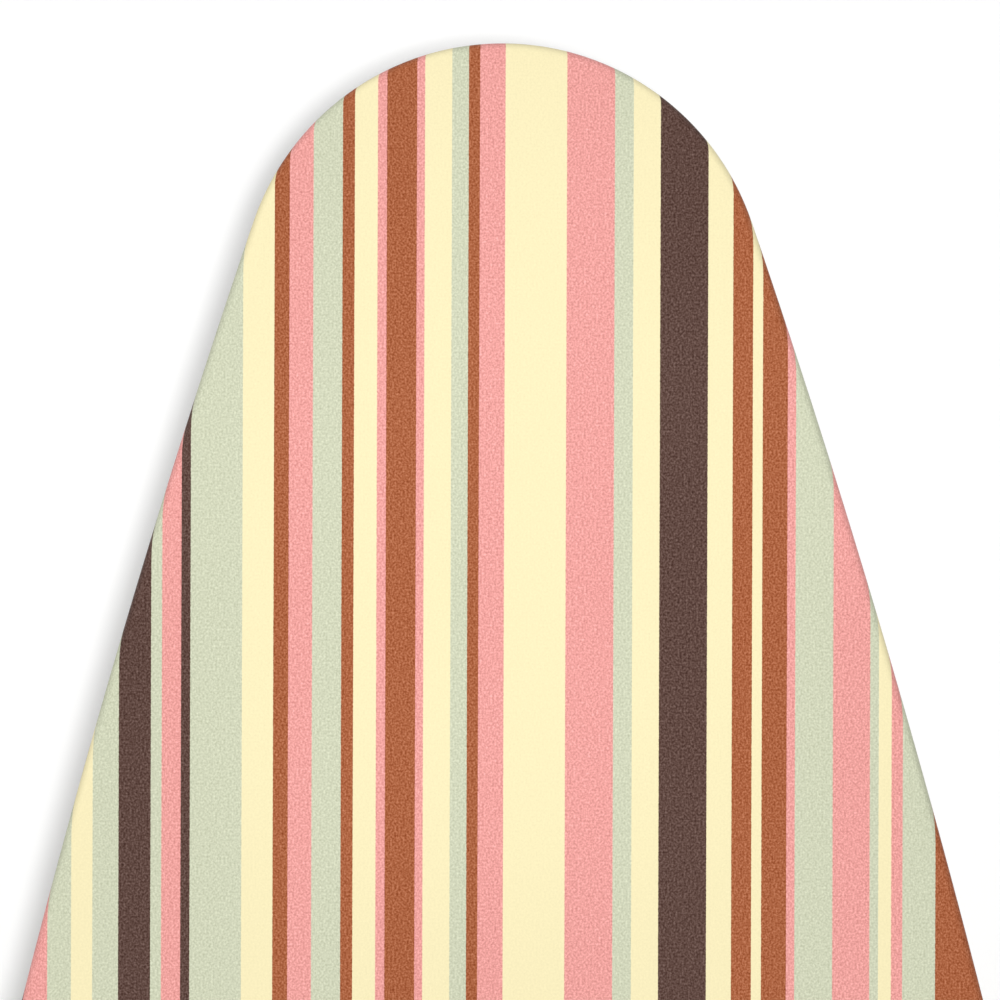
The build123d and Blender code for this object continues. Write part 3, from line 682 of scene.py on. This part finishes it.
def dress_steel():
    """Gives every carried-over CAD node the material of its slot."""
    for part in frame["record"]["subparts"]:
        look = looks.get(part["material_slot"])
        if look:
            frame["nodes"][part["node"]].material_slots[0].material = look


# ---------------------------------------------------------------- Gathers of the cover


def pleat_field(rng):
    """At each station: gather from 0 to 1, the pleats' phase, their depth and their lean."""
    tight = smooth_round(BEND, 14 * MM)
    gather = smoothstep(LOOSE_BEND, TIGHT_BEND, tight)
    pitch = SIDE_PLEAT + (TIGHT_PLEAT - SIDE_PLEAT) * gather
    uneven = 1 + 0.22 * ripple(rng, EDGE, 55 * MM)
    rate = np.clip(uneven, 0.55, 1.6) / pitch
    spacing = np.diff(np.append(RUN, AROUND))
    turns = np.cumsum(rate * spacing)
    phase = 2 * math.pi * turns * round(turns[-1]) / turns[-1]
    size = 1 + 0.35 * ripple(rng, EDGE, 34 * MM)
    depth = (SIDE_DEPTH + (TIGHT_DEPTH - SIDE_DEPTH) * gather) * np.clip(size, 0.45, 1.5)
    lean = np.clip(ripple(rng, EDGE, 90 * MM), -1, 1)
    return gather, phase, depth, lean


def cover_profile():
    """The cover's wall and hem in section: inset and height of each row, the cloth used up to it, and
    which row the casing's stitches follow."""
    rows = []
    for turn in np.radians(np.linspace(0, 90, 7)):
        rows.append((COVER_EDGE_R * (1 - math.sin(turn)), HEIGHT - COVER_EDGE_R * (1 - math.cos(turn))))
    wall_low = HEM_Z + HEM_BEND_R
    for z in np.linspace(HEIGHT - COVER_EDGE_R, wall_low, 7)[1:]:
        rows.append((0.0, z))
    for turn in np.radians(np.linspace(0, 90, 5))[1:]:
        rows.append((HEM_BEND_R * (1 - math.cos(turn)), wall_low - HEM_BEND_R * math.sin(turn)))
    for inset in np.linspace(HEM_BEND_R, CASING_INSET - CASING_R, 13)[1:]:
        rows.append((inset, HEM_Z))
    seam = len(rows) - 2
    # The cloth goes round the elastic and back onto itself.
    for turn in np.radians(np.linspace(0, 330, 11))[1:]:
        rows.append((CASING_INSET - CASING_R * math.cos(turn), HEM_Z - CASING_R * math.sin(turn)))
    rows = np.array(rows)
    used = np.concatenate([[0], np.cumsum(np.linalg.norm(np.diff(rows, axis=0), axis=1))])
    return rows, used, seam


def cover_rows():
    """Every row of the cover's wall, hem and casing, as points and as places in the flat cloth, with
    the cloth used in all and the number of the seam's row."""
    rng = np.random.default_rng(SEED)
    gather, phase, depth, lean = pleat_field(rng)
    profile, used, seam = cover_profile()
    fold = np.cos(phase)
    crease = np.sign(fold) * np.abs(fold) ** 0.75
    casing_wave = 0.10 * np.cos(2 * phase + 1.0)
    slack = HEM_SLACK * ripple(rng, EDGE, 130 * MM)
    puckered = np.clip(0.25 + gather, 0, 1)
    points, cloth = [], []
    bend_end, casing_start = HEM_Z + HEM_BEND_R, CASING_INSET - CASING_R
    for (inset, z), length in zip(profile, used):
        under = smoothstep(HEM_BEND_R, HEM_BEND_R + 9 * MM, inset) if z < bend_end else 0.0
        casing = smoothstep(casing_start - 8 * MM, casing_start, inset) if z < bend_end else 0.0
        wall = smoothstep(HEIGHT - 1.2 * COVER_EDGE_R, bend_end, z) if z > HEM_Z else 1.0
        free = smoothstep(RIM_LIP + 1 * MM, RIM_LIP + 7 * MM, inset)
        size = depth * under * (1 - 0.55 * casing)
        lift = size * (free * crease + (1 - free) * 0.5 * (crease - 1))
        tuck = 0.5 * depth * wall * (1 - fold) / 2 * puckered * (1 - under)
        shift = PLEAT_LEAN * size * lean * np.sin(phase)
        here = inset + np.minimum(tuck, WALL_TUCK) + slack * casing
        if casing >= 1:
            here = CASING_INSET + slack + (inset - CASING_INSET) * (1 + casing_wave)
            lift = lift + (z - HEM_Z) * casing_wave
        plan = EDGE - here[:, None] * NORMAL + shift[:, None] * TANGENT
        points.append(np.column_stack([plan, z + lift]))
        flat = EDGE + (length - COVER_EDGE_R) * NORMAL
        cloth.append(np.column_stack([flat, np.full(COLUMNS, length)]))
    return np.array(points), np.array(cloth), used[-1], seam


def padded_top(points):
    """How far the taut cloth sinks between the pad's firmer places."""
    rng = np.random.default_rng(SEED + 1)
    soft = 0.5 * ripple(rng, points, 110 * MM, 9) + 0.3 * ripple(rng, points, 45 * MM, 9)
    return COVER_SINK * (1 + np.clip(soft, -1, 1))


def make_cover():
    """The fitted cover: one sheet of cloth over the top, down the side and gathered under the rim.
    Returned with the rows about its seam and the length of cloth used from the edge."""
    rows, cloth, used, seam = cover_rows()
    plan, triangles = filled_plan(COVER_EDGE_R, COVER_PITCH)
    inner = plan[COLUMNS:]
    from_edge = smoothstep(0, SINK_MARGIN, edge_distance(inner))
    top = np.column_stack([inner, HEIGHT - padded_top(inner) * from_edge])
    vertices = np.vstack([rows.reshape(-1, 3), top])
    flat = np.vstack([cloth.reshape(-1, 3), np.column_stack([inner, np.zeros(len(inner))])])
    base = len(rows) * COLUMNS
    index = np.arange(base).reshape(len(rows), COLUMNS)
    faces = [*strip_faces(index), *renumbered(triangles, 0, base)]
    cover = mesh_piece("cover_cloth", vertices, faces, looks["cover_fabric"])
    attribute = cover.data.attributes.new("flat_cloth", "FLOAT_VECTOR", "POINT")
    attribute.data.foreach_set("vector", flat.astype(np.float32).ravel())
    thick = cover.modifiers.new("cloth", "SOLIDIFY")
    thick.thickness = COVER_CLOTH
    thick.offset = -1
    return cover, rows[seam - 1 : seam + 2], used


def edge_distance(points):
    """Distance of points from the edge of the cover's flat top."""
    ring = EDGE - COVER_EDGE_R * NORMAL
    return np.array([np.linalg.norm(ring - point, axis=1).min() for point in points])


def flat_area(reach):
    """Area of the plan of the top grown outwards by reach, which is how the cloth is cut."""
    ring = EDGE + reach * NORMAL
    x, y = ring[:, 0], ring[:, 1]
    return 0.5 * abs(np.dot(x, np.roll(y, -1)) - np.dot(y, np.roll(x, -1)))


def make_stitches(rows):
    """The row of stitches that closes the casing. Each follows the gathered hem."""
    line = rows[1]
    ahead = np.roll(line, -1, axis=0) - np.roll(line, 1, axis=0)
    normals = np.cross(ahead, rows[2] - rows[0])
    normals /= np.linalg.norm(normals, axis=1)[:, None]
    normals *= -np.sign(normals[:, 2:])
    closed = np.vstack([line, line[:1]])
    facing = np.vstack([normals, normals[:1]])
    run = np.concatenate([[0], np.cumsum(np.linalg.norm(np.diff(closed, axis=0), axis=1))])
    count = int(run[-1] / STITCH)
    shares = np.linspace(0, 1, 7)
    radii = THREAD_R * (0.25 + 0.75 * np.sin(math.pi * shares) ** 0.4)
    sunk = 2.2 * THREAD_R * np.sin(math.pi * shares) ** 0.7 - 0.9 * THREAD_R
    threads = []
    for start in np.arange(count) * run[-1] / count:
        where = start + STITCH * (0.1 + STITCH_SHARE * shares)
        path = np.column_stack([np.interp(where, run, closed[:, k]) for k in range(3)])
        out = np.column_stack([np.interp(where, run, facing[:, k]) for k in range(3)])
        out /= np.linalg.norm(out, axis=1)[:, None]
        threads.append(closed_rod(path + sunk[:, None] * out, out, radii))
    return joined("casing_stitches", threads, looks["thread"])


def make_pad():
    """The felt pad: a closed slab with a soft upper edge and a very slightly uneven top."""
    rng = np.random.default_rng(SEED + 2)
    radius = PAD_TOP - PAD_LOW - 0.2 * MM
    rows = []
    for turn in np.radians(np.linspace(0, 90, 6)):
        rows.append((PAD_INSET + radius * (1 - math.sin(turn)), PAD_TOP - radius * (1 - math.cos(turn))))
    rows.append((PAD_INSET, PAD_LOW + 0.1 * MM))
    rows.append((PAD_INSET + 0.15 * MM, PAD_LOW))
    ring = [np.column_stack([EDGE - inset * NORMAL, np.full(COLUMNS, z)]) for inset, z in rows]
    plan, triangles = filled_plan(rows[0][0], PAD_PITCH)
    inner = plan[COLUMNS:]
    sink = PAD_SINK * (1 + np.clip(ripple(rng, inner, 60 * MM, 9), -1, 1)) / 2
    top = np.column_stack([inner, PAD_TOP - sink])
    low_plan, low_triangles = filled_plan(rows[-1][0], PAD_PITCH)
    low_inner = low_plan[COLUMNS:]
    low = np.column_stack([low_inner, np.full(len(low_inner), PAD_LOW)])
    base = len(ring) * COLUMNS
    index = np.arange(base).reshape(len(ring), COLUMNS)
    upper = renumbered(triangles, 0, base)
    under = renumbered(low_triangles, base - COLUMNS, base + len(inner))
    faces = [*strip_faces(index), *upper, *under[:, ::-1]]
    return mesh_piece("felt_pad", np.vstack([*ring, top, low]), faces, looks["felt"])


# ---------------------------------------------------------------- Welds


def bead(rng, curve, outward, radius):
    """A rippled weld bead along a closed curve. outward points away from the joint at each point."""
    ahead = np.roll(curve, -1, axis=0) - np.roll(curve, 1, axis=0)
    ahead /= np.linalg.norm(ahead, axis=1)[:, None]
    side = np.cross(ahead, outward)
    run = np.cumsum(np.linalg.norm(np.roll(curve, -1, axis=0) - curve, axis=1))
    share = run / run[-1]
    pools = round(run[-1] / WELD_POOL)
    scallop = np.abs(np.sin(math.pi * pools * share)) ** 0.6
    waver = np.sin(5 * 2 * math.pi * share + rng.uniform(0, 6))
    size = radius * (0.80 + 0.22 * scallop + 0.06 * waver)[:, None]
    turns = round_turns(10)
    return np.array([curve + size * (outward * math.cos(t) + side * 1.25 * math.sin(t)) for t in turns])


def tube_on_bar(rng, foot, down):
    """The bead where a leg tube meets its foot bar."""
    turns = round_turns(132)
    across = np.cross(down, (0, 1, 0))
    reach = 1.02 * TUBE_R
    along = -np.sqrt(BAR_R**2 - np.minimum(reach * np.sin(turns), 0.985 * BAR_R) ** 2) - 0.3 * MM
    spoke = np.outer(np.cos(turns), (0, 1, 0)) + np.outer(np.sin(turns), across)
    curve = np.array(foot) + reach * spoke + np.outer(along, down)
    outward = spoke - np.array(down) * 0.6
    outward /= np.linalg.norm(outward, axis=1)[:, None]
    return bead(rng, curve, outward, TUBE_BEAD_R)


def brace_on_tube(rng, middle, down, sign):
    """The bead where the brace meets an inner leg tube."""
    turns = round_turns(108)
    across = np.cross(down, (0, 1, 0))
    reach = 1.03 * BRACE_R
    spoke = np.outer(np.cos(turns), down) + np.outer(np.sin(turns), across)
    inward = sign * (INNER_Y - np.sqrt(TUBE_R**2 - (reach * np.sin(turns)) ** 2))
    curve = np.array(middle) + reach * spoke + np.outer(inward, (0, 1, 0))
    outward = spoke + np.outer(np.full(len(turns), -0.5 * sign), (0, 1, 0))
    outward /= np.linalg.norm(outward, axis=1)[:, None]
    return bead(rng, curve, outward, BRACE_BEAD_R)


def make_welds():
    """Every weld bead of the two legs."""
    rng = np.random.default_rng(SEED + 3)
    nodes = ("outer_foot_bar", "inner_foot_bar", "inner_leg_brace")
    outer_foot, inner_foot, brace = (sum(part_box(node), Vector()) / 2 for node in nodes)
    outer_down = (-math.cos(LEG_ANGLE), 0, -math.sin(LEG_ANGLE))
    inner_down = (math.cos(LEG_ANGLE), 0, -math.sin(LEG_ANGLE))
    outer = [tube_on_bar(rng, (outer_foot.x, s * OUTER_Y, FOOT_Z), outer_down) for s in (1, -1)]
    inner = [tube_on_bar(rng, (inner_foot.x, s * INNER_Y, FOOT_Z), inner_down) for s in (1, -1)]
    inner += [brace_on_tube(rng, (brace.x, 0, brace.z), inner_down, s) for s in (1, -1)]
    for name, beads, body in (
        ("outer_leg_welds", outer, "outer_leg"),
        ("inner_leg_welds", inner, "inner_leg"),
    ):
        fitted(joined(name, [ring_shape(b) for b in beads], looks["frame_paint"]), body)


# ---------------------------------------------------------------- Small marks of making


def spot_weld(middle):
    """The raised lip round a spot weld, seen from below."""
    turns = round_turns(28)
    spoke = np.column_stack([np.cos(turns), np.sin(turns), np.zeros(len(turns))])
    curve = np.array(middle) + SPOT_R * spoke
    rings = [
        curve + SPOT_EDGE_R * (spoke * math.cos(t) + (0, 0, math.sin(t))) for t in round_turns(8)
    ]
    return ring_shape(np.array(rings))


def spots_between(start, end):
    """Places at an even pitch along a line, well inside its ends."""
    count = int(abs(end - start) / SPOT_PITCH)
    return start + (end - start) * (np.arange(count) + 0.5) / count


def make_spot_welds():
    """The spot welds that hold the stiffeners and the slide rails to the deck."""
    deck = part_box("deck_sheet")[0].z
    painted = []
    for node in ("nose_stiffener", "hinge_stiffener", "heel_stiffener"):
        low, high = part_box(node)
        for x in (low.x + STIFFENER_FLANGE / 2, high.x - STIFFENER_FLANGE / 2):
            painted += [spot_weld((x, y, deck - SHEET_T)) for y in spots_between(low.y, high.y)]
    fitted(joined("stiffener_welds", painted, looks["deck_paint"]), "top")
    plated = []
    for node, sign in (("slide_rail_left", 1), ("slide_rail_right", -1)):
        low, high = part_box(node)
        y = sign * (max(abs(low.y), abs(high.y)) - RAIL_FLANGE / 2)
        plated += [spot_weld((x, y, deck - RAIL_T)) for x in spots_between(low.x, high.x)]
    fitted(joined("rail_welds", plated, looks["zinc"]), "top")


def make_grip_ribs():
    """Moulded ribs across the top and bottom of the latch grip."""
    low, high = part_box("latch_grip")
    count = 9
    along = np.linspace(low.x + GRIP_MARGIN_X, high.x - GRIP_MARGIN_X, count)
    taper = GRIP_RIB_R * (0.15 + 0.85 * np.sin(np.linspace(0, math.pi, count)) ** 0.3)
    shapes = []
    for z, up in ((low.z, -1.0), (high.z, 1.0)):
        for y in np.linspace(low.y + GRIP_MARGIN_Y, high.y - GRIP_MARGIN_Y, GRIP_RIBS):
            path = np.column_stack([along, np.full(count, y), np.full(count, z)])
            shapes.append(closed_rod(path, np.tile((0, 0, up), (count, 1)), taper, 10))
    fitted(joined("latch_grip_ribs", shapes, looks["foot_plastic"]), "height_latch")


def make_cap_ribs(leg):
    """Moulded ribs round the foot caps of one leg, from one side of the sole over to the other."""
    shapes = []
    count = 57
    turns = np.radians(np.linspace(*CAP_RIB_ARC, count))
    taper = CAP_RIB_R * (0.1 + 0.9 * np.sin(np.linspace(0, math.pi, count)) ** 0.25)
    spoke = np.column_stack([np.cos(turns), np.zeros(count), np.sin(turns)])
    for side in ("left", "right"):
        low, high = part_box(f"{leg}_foot_cap_{side}")
        reach = (high.x - low.x) / 2
        outer_end, inner_end = (high.y, low.y) if side == "left" else (low.y, high.y)
        for share in CAP_RIB_PLACES:
            y = outer_end + share * (inner_end - outer_end)
            middle = np.array([(low.x + high.x) / 2, y, high.z - reach])
            shapes.append(closed_rod(middle + reach * spoke, spoke, taper, 10))
    piece = joined(f"{leg}_foot_cap_ribs", shapes, looks["foot_plastic"])
    fitted(piece, f"{leg}_leg")


# ---------------------------------------------------------------- Studio

FLOOR_HALF, FLOOR_RIM = 9.0, 2 * MM
CAMERA_PLACE = (0.57634, 0.0006)  # over the nose, in plan
CAMERA_RISE = 3.0
VIEW_SPAN = 0.240  # the board's width across the picture, at the ironing surface
SENSOR = 36.0
WORLD_STRENGTH = 0.365
KEY_SIZE, KEY_POWER = 0.029, 67.2
KEY_SHIFT = (0.0020, -0.0150)  # the key stands this far beside the camera, along and across the board
GLOW_SPREAD, GLOW_POWER = 0.135, 30.0
SOFT_LIGHTS = (  # name, place, the point it faces, size and power
    ("soft_left", (0.2, 2.2, 2.4), (0.1, 0, 0.5), 2.0, 17.0),
    ("soft_right", (0.2, -2.2, 2.4), (0.1, 0, 0.5), 2.0, 6.0),
    ("soft_front", (2.6, 0, 1.9), (0.4, 0, 0.7), 1.6, 11.0),
    ("soft_back", (-2.4, 0, 1.6), (0.0, 0, 0.5), 1.6, 10.0),
)


def make_floor():
    """A large pale floor with a slightly raised rim, far outside the view."""
    count = 24
    line = np.linspace(-FLOOR_HALF, FLOOR_HALF, count + 1)
    x, y = np.meshgrid(line, line)
    z = np.where(np.hypot(x, y) > FLOOR_HALF * 0.95, FLOOR_RIM, 0.0)
    index = np.arange((count + 1) ** 2).reshape(count + 1, count + 1)
    quads = np.stack([index[:-1, :-1], index[:-1, 1:], index[1:, 1:], index[1:, :-1]], axis=-1)
    vertices = np.column_stack([x.ravel(), y.ravel(), z.ravel()])
    floor = mesh_piece("floor", vertices, quads.reshape(-1, 4), studio_floor())


def make_camera():
    """A long lens straight above the nose, with the nose at the top of the picture."""
    data = bpy.data.cameras.new("camera")
    data.sensor_width = SENSOR
    data.lens = SENSOR * CAMERA_RISE / VIEW_SPAN
    data.clip_start, data.clip_end = 0.1, 100.0
    camera = link(bpy.data.objects.new("camera", data))
    camera.location = (*CAMERA_PLACE, HEIGHT + CAMERA_RISE)
    camera.rotation_euler = (0, 0, -math.pi / 2)
    bpy.context.scene.camera = camera


def area_light(name, place, target, size, power):
    """A softbox aimed at a point."""
    data = bpy.data.lights.new(name, "AREA")
    data.shape = "SQUARE"
    data.size = size
    data.energy = power
    light = link(bpy.data.objects.new(name, data))
    light.location = place
    heading = Vector(target) - Vector(place)
    light.rotation_euler = heading.to_track_quat("-Z", "Y").to_euler()


def glow(name, place, spread, power):
    """A faint pool of light straight below a place, fading out at a distance from its middle."""
    data = bpy.data.lights.new(name, "SPOT")
    data.spot_size = 2 * math.atan(spread / CAMERA_RISE)
    data.spot_blend = 1.0
    data.shadow_soft_size = KEY_SIZE
    data.energy = power
    light = link(bpy.data.objects.new(name, data))
    light.location = place


def make_lights():
    """A small key beside the camera and a faint glow at it, which throw the narrow shadow on the floor,
    and broad soft fill."""
    world = bpy.data.worlds.new("studio")
    world.use_nodes = True
    background = next(n for n in world.node_tree.nodes if n.type == "BACKGROUND")
    background.inputs[0].default_value = (1.0, 1.0, 1.0, 1)
    background.inputs[1].default_value = WORLD_STRENGTH
    bpy.context.scene.world = world
    camera_place = Vector((*CAMERA_PLACE, HEIGHT + CAMERA_RISE))
    key_place = camera_place + Vector((*KEY_SHIFT, 0))
    area_light("key", key_place, (*CAMERA_PLACE, HEIGHT), KEY_SIZE, KEY_POWER)
    glow("glow", camera_place, GLOW_SPREAD, GLOW_POWER)
    for name, place, target, size, power in SOFT_LIGHTS:
        area_light(name, place, target, size, power)


# ---------------------------------------------------------------- Assembly

dress_steel()

cover, seam_rows, cloth_used = make_cover()
stitches = make_stitches(seam_rows)
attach(cover, "top")
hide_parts("cover", "cover_hem", "cover_elastic")
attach(stitches, "top")

pad = make_pad()
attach(pad, "top")
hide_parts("pad")

growth = cloth_used - COVER_EDGE_R
flat_area(growth)

make_welds()
make_spot_welds()
make_grip_ribs()
for leg in ("outer", "inner"):
    make_cap_ribs(leg)
make_floor()
make_camera()
make_lights()

bpy.context.scene.view_settings.view_transform = "Standard"
